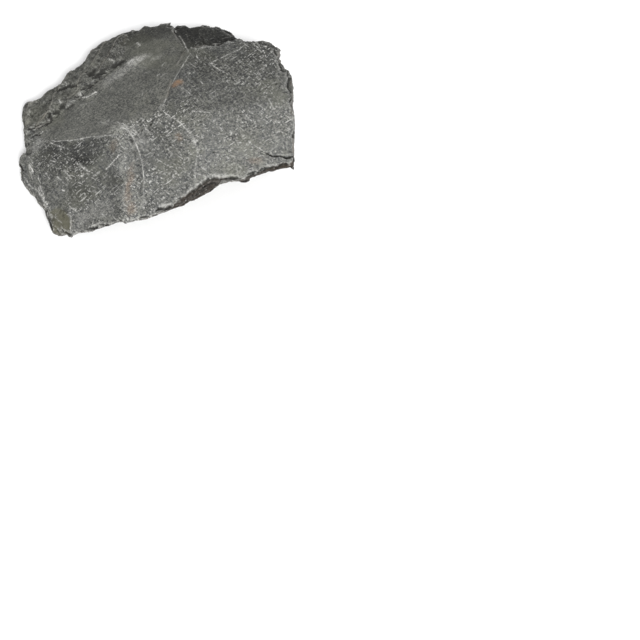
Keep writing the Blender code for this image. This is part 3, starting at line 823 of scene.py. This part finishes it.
def paint_masks(mesh, wear, crevice_shade, broad):
    """Stores where the stone is worn, bruised, stained or flecked, and where light and shade are painted on it, point
    by point.
    """
    points = read_points(mesh)
    plan = points[:, :2]
    upward = ease(broad[:, 2], 0.25, 0.6)
    ragged = plan + 1.8 * sideways(rough, points, 7, 61, 64)
    shaken = plan + 0.35 * sideways(lumps, points, 2.0, 67, 68)
    teeth = jagged(points)
    bruise, bruise_side = draw_bruises(shaken, rough(points, 4.5, 69, 2))
    crack_side = beside_line(shaken + 0.45 * teeth, on_plan(CRACK))[0]
    shadowed_lip_wall = lip_wall_in_shadow(points)
    # The left-facing walls are painted pale and olive: partly weathering, partly painted light as if lit from the
    # left.
    left_wall_lit_and_weathered = steep(broad, 0.5, 0.8) * ease(-broad[:, 0], 0.3, 0.7)
    left_wall_lit_and_weathered = np.maximum(left_wall_lit_and_weathered, patch(ragged, LEFT_WALL_PATCH))
    broken = ease(lumps(points, 3.0, 55), -1.0, -0.2) * upward
    for line, width, _ in GROOVES:
        crevice_shade = np.maximum(crevice_shade, broken * close_to(shaken + teeth, line, 0.3 * width, 0.95 * width))
    near_front = 1 - ease(width_share(plan), -0.36, -0.18)
    rust = sum(patch(ragged, spot) for spot in RUST_SPOTS) * upward
    pale = sum(patch(ragged, spot) for spot in PALE_PATCHES) * upward
    olive = inside(ragged, OLIVE_CHIP, 0.9) + 0.16 * inside(plan, HOLLOW, 2) + 0.22 * inside(plan, BROKEN_RIM, 2)
    values = {
        "wear": wear * (1 - 0.8 * shadowed_lip_wall) * (1 + 0.7 * near_front),
        "crevice_shade": crevice_shade,
        "bruise": bruise * upward,
        "bruise_side": bruise_side,
        "crack_side": np.clip(crack_side, -3, 3),
        "rust": np.maximum(rust, 0.08 * shadowed_lip_wall),
        "olive": np.clip(olive * upward + 0.55 * left_wall_lit_and_weathered, 0, 1),
        "pale": np.maximum(pale, 0.45 * left_wall_lit_and_weathered),
        "flecks": np.clip(paint_flecks(points, ragged) * (1 - shadowed_lip_wall), 0, 1.2),
        # Painted shadow: the wall under the front lip is darkened, as the undercut would be in shade.
        "shade": paint_shade(points, ragged, shaken, upward) * (1 - 0.82 * shadowed_lip_wall),
        "wall": np.maximum(steep(broad, 0.45, 0.8), 1.3 * shadowed_lip_wall),
    }
    for name, mask in values.items():
        layer = mesh.attributes.new(name, "FLOAT", "POINT")
        layer.data.foreach_set("value", mask.astype(np.float32))


def shade_smooth(mesh):
    mesh.polygons.foreach_set("use_smooth", np.ones(len(mesh.polygons), bool))
    mesh.update()


# ---- node helpers ----


class Board:
    """A node tree that nodes are put on, with values or other nodes' outputs as their inputs."""

    def __init__(self, tree):
        self.tree = tree

    def put(self, kind, inputs=(), **settings):
        made = self.tree.nodes.new(kind)
        for name, value in settings.items():
            setattr(made, name, value)
        for name, value in dict(inputs).items():
            self.feed(value, made.inputs[name])
        return made

    def feed(self, value, socket):
        if isinstance(value, bpy.types.NodeSocket):
            self.tree.links.new(value, socket)
        else:
            socket.default_value = value

    def math(self, operation, *values, clamp=False):
        """A Math node's result, with one node more for each value past the second."""
        made = self.put("ShaderNodeMath", enumerate(values[:2]), operation=operation, use_clamp=clamp).outputs[0]
        return self.math(operation, made, *values[2:], clamp=clamp) if len(values) > 2 else made

    def add(self, *values, **options):
        return self.math("ADD", *values, **options)

    def times(self, *values, **options):
        return self.math("MULTIPLY", *values, **options)

    def most(self, *values, **options):
        return self.math("MAXIMUM", *values, **options)

    def vector(self, operation, *values):
        return self.put("ShaderNodeVectorMath", enumerate(values), operation=operation).outputs[0]

    def turned(self, place, heading):
        made = self.put("ShaderNodeVectorRotate", {"Vector": place, "Angle": heading}, rotation_type="Z_AXIS")
        return made.outputs[0]

    def between(self, value, start, end, low=0.0, high=1.0):
        made = self.put(
            "ShaderNodeMapRange", {0: value, 1: start, 2: end, 3: low, 4: high}, interpolation_type="SMOOTHSTEP")
        return made.outputs[0]

    def mix(self, share, first, second, blend="MIX"):
        made = self.put("ShaderNodeMix", {0: share, 6: first, 7: second}, data_type="RGBA", blend_type=blend)
        return made.outputs[2]

    def mask(self, name):
        return self.put("ShaderNodeAttribute", attribute_name=name).outputs["Fac"]

    def noise(self, place, scale, detail=2.0, roughness=0.5, output="Fac"):
        made = self.put(
            "ShaderNodeTexNoise", {"Vector": place, "Scale": scale, "Detail": detail, "Roughness": roughness})
        return made.outputs[output]

    def cells(self, place):
        """Cells one unit across: the distance from each one's middle, and its random colour in three parts."""
        made = self.put("ShaderNodeTexVoronoi", {"Vector": place, "Scale": 1.0, "Randomness": 1.0}, feature="F1")
        colour = self.put("ShaderNodeSeparateColor", {"Color": made.outputs["Color"]})
        return made.outputs["Distance"], colour.outputs

    def group(self, tree, **inputs):
        made = self.put("ShaderNodeGroup", node_tree=tree)
        for name, value in inputs.items():
            self.feed(value, made.inputs[name])
        return made.outputs


def cleared_board(owner):
    """The board of a material or a world, with nothing on it yet."""
    owner.use_nodes = True
    owner.node_tree.nodes.clear()
    return Board(owner.node_tree)


def new_group(name, takes, gives):
    """A node group's board, the outputs that its inputs come from and the inputs that its outputs go to."""
    tree = bpy.data.node_groups.new(name, "ShaderNodeTree")
    for label, default in takes.items():
        kind = "NodeSocketFloat" if isinstance(default, float) else "NodeSocketVector"
        socket = tree.interface.new_socket(label, in_out="INPUT", socket_type=kind)
        if default is not None:
            socket.default_value = default
    for label in gives:
        tree.interface.new_socket(label, in_out="OUTPUT", socket_type="NodeSocketFloat")
    board = Board(tree)
    return board, board.put("NodeGroupInput").outputs, board.put("NodeGroupOutput").inputs


def grain_group():
    """Fine light and dark grains and strokes, with cloudier tones behind them."""
    board, takes, gives = new_group(
        "slate grain", {"Place": None, "Grains": 1050.0}, ("Tone", "Height", "Clouds", "Strokes", "Gaps"))
    strokes = []
    for heading in (0.80, -0.76):
        stretched = board.vector("MULTIPLY", board.turned(takes["Place"], heading), (560.0, 1650.0, 900.0))
        strokes.append(board.noise(stretched, 1.0, 1.0, 0.5))
    specks = []
    for heading in (0.74, -0.80):
        stretched = board.vector("MULTIPLY", board.turned(takes["Place"], heading), (720.0, 1750.0, 1500.0))
        specks.append(board.cells(stretched)[1][0])
    fine = board.noise(takes["Place"], takes["Grains"], 2.0, 0.6)
    coarse = board.noise(takes["Place"], board.times(takes["Grains"], 0.45), 2.0, 0.55)
    both = board.add(board.times(fine, 0.72), board.times(coarse, 0.28))
    specks = board.math("SUBTRACT", board.add(*specks), 1.0)
    board.feed(board.add(board.between(both, 0.36, 0.66), specks), gives["Tone"])
    board.feed(both, gives["Height"])
    board.feed(board.noise(takes["Place"], board.times(takes["Grains"], 0.045), 3.0, 0.55), gives["Clouds"])
    board.feed(board.between(board.most(*strokes), 0.585, 0.655), gives["Strokes"])
    board.feed(board.between(board.math("MINIMUM", *strokes), 0.41, 0.35), gives["Gaps"])
    return board.tree


def scratches_group():
    """Short pale scratches that all run one way, at random places."""
    board, takes, gives = new_group(
        "slate scratches",
        {"Place": None, "Heading": 0.0, "Spacing": (0.006, 0.0016, 0.003), "Thickness": 0.2, "Share": 0.4}, ("Mask",))
    bend = board.noise(takes["Place"], 130.0, 1.0, output="Color")
    swayed = board.vector("MULTIPLY_ADD", bend, (0.0016, 0.0016, 0.0016), takes["Place"])
    away, draws = board.cells(board.vector("DIVIDE", board.turned(swayed, takes["Heading"]), takes["Spacing"]))
    thick = board.times(takes["Thickness"], board.add(draws[1], 0.35))
    dash = board.between(away, thick, board.times(thick, 0.65))
    strength = board.add(board.times(draws[2], 0.5), 0.5)
    board.feed(board.times(dash, board.math("LESS_THAN", draws[0], takes["Share"]), strength), gives["Mask"])
    return board.tree


def bedding_group():
    """Thin light and dark streaks along the beds, for broken sides."""
    board, takes, gives = new_group("slate bedding", {"Place": None, "Bed": 0.0011}, ("Tone", "Height", "Earth"))
    bend = board.noise(takes["Place"], 45.0, 2.0, output="Color")
    swayed = board.vector("MULTIPLY_ADD", bend, (0.0, 0.0, 0.003), takes["Place"])
    spacing = board.put("ShaderNodeCombineXYZ", {0: 0.016, 1: 0.016, 2: takes["Bed"]}).outputs[0]
    streaks = board.noise(board.vector("DIVIDE", swayed, spacing), 1.0, 3.0, 0.65)
    wide = board.noise(board.vector("DIVIDE", swayed, (0.03, 0.03, 0.0045)), 1.0, 2.0, 0.5)
    board.feed(board.between(streaks, 0.30, 0.70), gives["Tone"])
    board.feed(streaks, gives["Height"])
    board.feed(board.between(wide, 0.44, 0.66), gives["Earth"])
    return board.tree


def blotch_group():
    """Cloudy patches with ragged rims."""
    board, takes, gives = new_group("slate blotches", {"Place": None, "Size": 0.02, "Cover": 0.4}, ("Mask",))
    clouds = board.noise(takes["Place"], board.math("DIVIDE", 1.0, takes["Size"]), 5.0, 0.62)
    start = board.math("SUBTRACT", 0.78, board.times(takes["Cover"], 0.5))
    board.feed(board.between(clouds, start, board.add(start, 0.12)), gives["Mask"])
    return board.tree


def rgba(colour):
    """A colour with full cover."""
    return (*colour, 1.0)


def plain_stone(board, place, masks, grain, bedding, settings):
    """The stone's colour before dust, rust and the painted shade of the crevices: speckled faces, streaked sides and
    the olive chips, times the stored shade, which holds painted light and shade as well as tone.
    """
    share = board.add(board.times(masks["flecks"], 0.62), 0.14)
    hatched = board.math("SUBTRACT", grain["Strokes"], board.times(grain["Gaps"], 0.30))
    tone = board.add(board.times(grain["Tone"], 0.66), board.times(hatched, share), 0.10)
    colour = board.mix(tone, rgba(settings.dark), rgba([1.40 * part for part in settings.stone]))
    colour = board.mix(board.between(grain["Clouds"], 0.30, 0.70, 0.0, 0.30), colour, rgba(BLUISH))
    greenish = board.group(blotch_group(), Place=place, Size=0.034, Cover=0.55)["Mask"]
    colour = board.mix(board.times(greenish, 0.30), colour, rgba(GREENISH))
    beds = board.mix(bedding["Tone"], rgba(DARK_BED), rgba(PALE_BED))
    colour = board.mix(board.times(masks["wall"], 0.62), colour, beds)
    colour = board.mix(board.times(bedding["Earth"], masks["wall"], 0.55), colour, rgba(settings.bed_brown))
    olive = board.times(masks["olive"], board.between(grain["Clouds"], 0.35, 0.65, 0.35, 0.75), clamp=True)
    colour = board.mix(olive, colour, rgba(settings.olive))
    # The stored shade: partly the stone's own tone, partly painted light and shade.
    shade = board.put("ShaderNodeCombineColor", {part: masks["shade"] for part in range(3)}).outputs[0]
    return board.mix(1.0, colour, shade, "MULTIPLY")


def dashes(board, place, scratches, rows):
    """The pale dashes of several headings, laid over each other."""
    masks = []
    for heading, along, across, thick, share in rows:
        spacing = (along, across, 0.5 * (along + across))
        found = board.group(scratches, Place=place, Heading=heading, Spacing=spacing, Thickness=thick, Share=share)
        masks.append(found["Mask"])
    return board.most(*masks)


def bruised_lines(board, place, masks, tone, wiggle):
    """Crumbly pale lines with a faint halo, along the stored distance to each side of a bruise."""
    away = board.math("ABSOLUTE", board.add(masks["bruise_side"], wiggle))
    crumbs = board.between(board.noise(place, 720.0, 2.0, 0.6), 0.38, 0.60, 0.45, 1.35)
    line = board.times(board.between(away, 0.22, 0.62, 1.0, 0.0), crumbs)
    line = board.most(line, board.between(away, 0.3, 2.2, 0.16, 0.0))
    return board.times(masks["bruise"], line, board.between(tone, 0.1, 0.6, 0.60, 1.0))


def slate_material(settings):
    """Speckled grey slate: bruises, flecks, scratches, worn rims, stains and bedding streaks, with painted shade in
    the crevices and the crack and painted light and shade in the stored tones.
    """
    material = bpy.data.materials.new("split slate")
    board = cleared_board(material)
    place = board.put("ShaderNodeTexCoord").outputs["Object"]
    masks = {name: board.mask(name) for name in MASKS}
    grain = board.group(grain_group(), Place=place)
    bedding = board.group(bedding_group(), Place=place)
    colour = plain_stone(board, place, masks, grain, bedding, settings)
    tone = grain["Tone"]

    scratches = scratches_group()
    hatch_share = board.add(board.times(masks["flecks"], 0.62), 0.07)
    pale = board.most(
        board.times(dashes(board, place, scratches, FLECK_ROWS), masks["flecks"], 1.05),
        board.times(dashes(board, place, scratches, HATCH_ROWS), hatch_share))
    wiggle = board.times(board.math("SUBTRACT", board.noise(place, 900.0, 2.0, 0.6), 0.5), 1.6)
    bruised = bruised_lines(board, place, masks, tone, wiggle)
    worn = board.times(masks["wear"], 0.34, board.between(tone, 0.15, 0.75, 0.35, 1.0))
    dusty = board.times(masks["pale"], board.between(tone, 0.0, 1.0, 0.25, 0.6))
    bed_crumbs = board.noise(board.vector("MULTIPLY", place, (520.0, 520.0, 1500.0)), 1.0, 2.0, 0.6)
    bed_crumbs = board.times(board.between(bed_crumbs, 0.62, 0.68), masks["wall"], 0.40)
    dust = board.most(pale, bruised, worn, dusty, bed_crumbs)
    colour = board.mix(board.times(dust, 0.95, clamp=True), colour, rgba(settings.dust))

    rust = board.times(masks["rust"], board.between(tone, 0.0, 1.0, 0.45, 0.95), clamp=True)
    colour = board.mix(rust, colour, rgba(settings.rust))
    # Painted shade: the crack's line, the creases and the grooves are darkened.
    off_crack = board.math("ABSOLUTE", board.add(masks["crack_side"], board.times(wiggle, 0.3)))
    crack = board.between(off_crack, 0.30, 0.62, 1.0, 0.0)
    colour = board.mix(board.most(board.times(masks["crevice_shade"], 0.92), crack, clamp=True), colour, rgba(CREVICE_SHADE))

    height = board.add(grain["Height"], board.times(pale, 0.35), board.times(bedding["Height"], masks["wall"], 1.6))
    bump = board.put("ShaderNodeBump", {"Height": height, "Strength": 1.0, "Distance": 0.0004})
    gloss = board.between(board.add(tone, dust), 0.0, 1.6, 0.70, 0.92)
    shader = board.put("ShaderNodeBsdfPrincipled", {
        "Base Color": colour, "Roughness": gloss, "Specular IOR Level": 0.12, "Normal": bump.outputs[0]})
    board.put("ShaderNodeOutputMaterial", {"Surface": shader.outputs[0]})
    return material


class SLATE_OT_split_slab(bpy.types.Operator):
    """Split, chip and stain the slate slab over its solid"""

    bl_idname = "slate.split_slab"
    bl_label = "Split the Slab"

    def execute(self, context):
        settings = context.scene.slate_slab_settings
        slab = solid_copy()
        with_modifier(slab, "REMESH", mode="VOXEL", voxel_size=settings.mesh_grain)
        wear, crevice_shade, broad = relieve(slab, settings)
        before = read_points(slab.data)
        faces = sum(len(polygon.vertices) - 2 for polygon in slab.data.polygons)
        with_modifier(slab, "DECIMATE", ratio=min(1.0, settings.triangles / faces))
        kept = nearest_values(before, np.column_stack([wear, crevice_shade, broad]), read_points(slab.data))
        paint_masks(slab.data, kept[:, 0], kept[:, 1], kept[:, 2:])
        shade_smooth(slab.data)
        slab.data.materials.clear()
        slab.data.materials.append(slate_material(settings))
        if len(slab.data.polygons) < FEWEST_FACES:
            raise RuntimeError("the slab lost its mesh")
        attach(slab, "root")
        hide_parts("slate_slab")
        return {"FINISHED"}


# ---- the stage ----


def floor_material(colour):
    material = bpy.data.materials.new("pale floor")
    board = cleared_board(material)
    cloud = board.noise(board.put("ShaderNodeTexCoord").outputs["Object"], 1.3)
    tone = board.mix(cloud, rgba([0.985 * part for part in colour]), rgba(colour))
    shader = board.put(
        "ShaderNodeBsdfPrincipled", {"Base Color": tone, "Roughness": 0.9, "Specular IOR Level": 0.1})
    board.put("ShaderNodeOutputMaterial", {"Surface": shader.outputs[0]})
    return material


def add_floor(settings):
    work = bmesh.new()
    bmesh.ops.create_grid(work, x_segments=4, y_segments=4, size=settings.floor_width / 2)
    mesh = bpy.data.meshes.new("floor")
    work.to_mesh(mesh)
    work.free()
    mesh.materials.append(floor_material(settings.floor))
    floor = bpy.data.objects.new("floor", mesh)
    bpy.context.scene.collection.objects.link(floor)


def add_sun(name, heading, height, softness, strength):
    """A soft even light from a heading in degrees round from +X and a height in degrees above the floor."""
    light = bpy.data.lights.new(name, "SUN")
    light.angle = math.radians(softness)
    light.energy = strength
    lamp = bpy.data.objects.new(name, light)
    turn, rise = math.radians(heading), math.radians(height)
    source = Vector((math.cos(turn) * math.cos(rise), math.sin(turn) * math.cos(rise), math.sin(rise)))
    lamp.location = source
    lamp.rotation_euler = (-source).to_track_quat("-Z", "Y").to_euler()
    bpy.context.scene.collection.objects.link(lamp)


def surround(strength):
    """Even pale light from all round, which the camera sees as white."""
    world = bpy.data.worlds.new("surround")
    board = cleared_board(world)
    seen = board.put("ShaderNodeLightPath").outputs["Is Camera Ray"]
    lit = board.put("ShaderNodeBackground", {"Color": rgba(WHITE), "Strength": strength})
    backdrop = board.put("ShaderNodeBackground", {"Color": rgba(WHITE), "Strength": 1.0})
    both = board.put("ShaderNodeMixShader", {0: seen, 1: lit.outputs[0], 2: backdrop.outputs[0]})
    board.put("ShaderNodeOutputWorld", {"Surface": both.outputs[0]})
    return world


def add_camera(settings):
    lens = bpy.data.cameras.new("camera")
    lens.lens = settings.focal_length
    lens.sensor_width = 36.0
    camera = bpy.data.objects.new("camera", lens)
    camera.location = CAMERA_PLACE
    camera.rotation_euler = (math.radians(90.0 - CAMERA_PITCH), 0.0, 0.0)
    bpy.context.scene.collection.objects.link(camera)
    bpy.context.scene.camera = camera


class SLATE_OT_lay_stage(bpy.types.Operator):
    """Lay the pale floor, and set up the soft lights and the camera"""

    bl_idname = "slate.lay_stage"
    bl_label = "Lay the Stage"

    def execute(self, context):
        settings = context.scene.slate_stage_settings
        scene = context.scene
        add_floor(settings)
        add_sun("key", settings.key_heading, settings.key_height, 22.0, settings.key_strength)
        scene.world = surround(settings.sky)
        scene.view_settings.view_transform = "Standard"
        scene.view_settings.look = "None"
        add_camera(settings)
        return {"FINISHED"}


class SLATE_PT_panel(bpy.types.Panel):
    bl_label = "Slate Slab"
    bl_idname = "SLATE_PT_panel"
    bl_space_type = "VIEW_3D"
    bl_region_type = "UI"
    bl_category = "Slate"

    def draw(self, context):
        for operator, settings in (
            (SLATE_OT_split_slab, context.scene.slate_slab_settings),
            (SLATE_OT_lay_stage, context.scene.slate_stage_settings),
        ):
            box = self.layout.box()
            for name in type(settings).__annotations__:
                box.prop(settings, name)
            box.operator(operator.bl_idname)


CLASSES = (SlateSlabSettings, SlateStageSettings, SLATE_OT_split_slab, SLATE_OT_lay_stage, SLATE_PT_panel)


def register():
    for kind in CLASSES:
        bpy.utils.register_class(kind)
    bpy.types.Scene.slate_slab_settings = bpy.props.PointerProperty(type=SlateSlabSettings)
    bpy.types.Scene.slate_stage_settings = bpy.props.PointerProperty(type=SlateStageSettings)


def unregister():
    del bpy.types.Scene.slate_stage_settings
    del bpy.types.Scene.slate_slab_settings
    for kind in reversed(CLASSES):
        bpy.utils.unregister_class(kind)


def main():
    register()
    bpy.ops.slate.lay_stage()
    bpy.ops.slate.split_slab()


if __name__ == "__main__":
    main()
